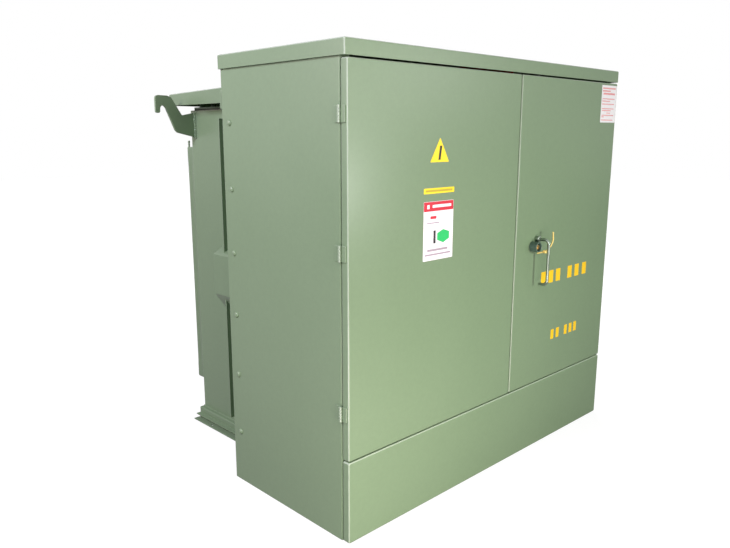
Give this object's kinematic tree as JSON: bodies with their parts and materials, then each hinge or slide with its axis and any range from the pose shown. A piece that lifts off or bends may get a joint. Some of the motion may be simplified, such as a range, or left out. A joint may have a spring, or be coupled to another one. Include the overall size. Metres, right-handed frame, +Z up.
{
  "type": "pad-mounted transformer",
  "caption": "Pad-mounted distribution transformer: locked two-door cable cabinet on the front of an oil tank with radiators, weather hood and lifting hooks.",
  "frame": {"origin": "centre of the footprint box, on the pad", "axes": "+Z up; -Y towards the doors; +X to the right as seen facing the doors"},
  "size_m": [1.7146, 1.578, 1.65],
  "materials": {
    "green_enamel": "gloss",
    "bare_steel": "matt",
    "zinc_plate": "satin",
    "brass": "satin",
    "copper": "satin",
    "core_steel": "matt",
    "kraft_paper": "matt",
    "nitrile_rubber": "matt",
    "epoxy": "gloss",
    "insulating_board": "matt",
    "yellow_plastic": "satin"
  },
  "bodies": {
    "root": {"base_rail_left": "green_enamel", "base_rail_right": "green_enamel", "bulkhead": "green_enamel", "cabinet_roof": "green_enamel", "coil_a": "kraft_paper", "coil_b": "kraft_paper", "coil_c": "kraft_paper", "compartment_barrier": "insulating_board", "core": "core_steel", "core_clamp_bottom": "bare_steel", "core_clamp_top": "bare_steel", "dial_thermometer": "zinc_plate", "drain_valve_body": "brass", "front_sill": "green_enamel", "hv_bushing_a": "epoxy", "hv_bushing_b": "epoxy", "hv_bushing_c": "epoxy", "left_hinge_1_frame_leaf": "green_enamel", "left_hinge_2_frame_leaf": "green_enamel", "left_hinge_3_frame_leaf": "green_enamel", "lid_gasket": "nitrile_rubber", "lifting_hook_front_left": "green_enamel", "lifting_hook_front_right": "green_enamel", "lifting_hook_rear_left": "green_enamel", "lifting_hook_rear_right": "green_enamel", "lv_bushing_a": "copper", "lv_bushing_b": "copper", "lv_bushing_c": "copper", "lv_bushing_n": "copper", "radiator_left": "green_enamel", "radiator_right": "green_enamel", "relief_valve_body": "brass", "right_hinge_1_frame_leaf": "green_enamel", "right_hinge_2_frame_leaf": "green_enamel", "right_hinge_3_frame_leaf": "green_enamel", "side_brace_left": "green_enamel", "side_brace_right": "green_enamel", "side_panel_left": "green_enamel", "side_panel_right": "green_enamel", "tank": "green_enamel", "tank_hood": "green_enamel", "tank_lid": "green_enamel"},
    "left_door": {"left_door": "green_enamel", "left_hinge_1_door_leaf": "green_enamel", "left_hinge_2_door_leaf": "green_enamel", "left_hinge_3_door_leaf": "green_enamel"},
    "right_door": {"right_door": "green_enamel", "bolt_guard": "green_enamel", "right_hinge_1_door_leaf": "green_enamel", "right_hinge_2_door_leaf": "green_enamel", "right_hinge_3_door_leaf": "green_enamel"},
    "handle": {"door_handle": "green_enamel", "latch_cam": "zinc_plate"},
    "upper_rod": {"latch_rod_upper": "zinc_plate"},
    "lower_rod": {"latch_rod_lower": "zinc_plate"},
    "bolt": {"five_sided_bolt": "brass"},
    "switch": {"switch_handle": "yellow_plastic"},
    "tap_changer": {"tap_changer_handle": "yellow_plastic"},
    "drain_wheel": {"drain_valve_wheel": "bare_steel"},
    "relief_stem": {"relief_valve_stem": "zinc_plate"}
  },
  "joints": [
    {"name": "left_door_swing", "type": "hinge", "parent": "root", "child": "left_door", "pos_m": [-0.8513, -0.6905, 0.9475], "axis": [0, 0, -1], "range_deg": [0, 120]},
    {"name": "right_door_swing", "type": "hinge", "parent": "root", "child": "right_door", "pos_m": [0.8513, -0.6905, 0.9475], "axis": [0, 0, 1], "range_deg": [0, 120]},
    {"name": "handle_turn", "type": "hinge", "parent": "right_door", "child": "handle", "pos_m": [0.227, -0.723, 0.941], "axis": [0, -1, 0], "range_deg": [0, 90]},
    {"name": "upper_rod_slide", "type": "slide", "parent": "right_door", "child": "upper_rod", "axis": [0, 0, -1], "range_m": [0, 0.0397]},
    {"name": "lower_rod_slide", "type": "slide", "parent": "right_door", "child": "lower_rod", "axis": [0, 0, 1], "range_m": [0, 0.0397]},
    {"name": "bolt_turn", "type": "hinge", "parent": "right_door", "child": "bolt", "pos_m": [0.197, -0.723, 0.912], "axis": [0, -1, 0], "continuous": true},
    {"name": "switch_turn", "type": "hinge", "parent": "root", "child": "switch", "pos_m": [-0.37, -0.0773, 1.31], "axis": [0, -1, 0], "range_deg": [0, 90]},
    {"name": "tap_changer_turn", "type": "hinge", "parent": "root", "child": "tap_changer", "pos_m": [-0.17, -0.0773, 1.31], "axis": [0, -1, 0], "range_deg": [0, 144]},
    {"name": "drain_wheel_turn", "type": "hinge", "parent": "root", "child": "drain_wheel", "pos_m": [0.43, -0.1623, 0.16], "axis": [0, -1, 0], "continuous": true},
    {"name": "relief_stem_pull", "type": "slide", "parent": "root", "child": "relief_stem", "axis": [0, -1, 0], "range_m": [0, 0.008], "stiffness_N_per_m": 500}
  ],
  "couplings": [
    {"joint": "upper_rod_slide", "follows": "handle_turn", "m_per_rad": 0.02521},
    {"joint": "lower_rod_slide", "follows": "handle_turn", "m_per_rad": 0.02521}
  ]
}
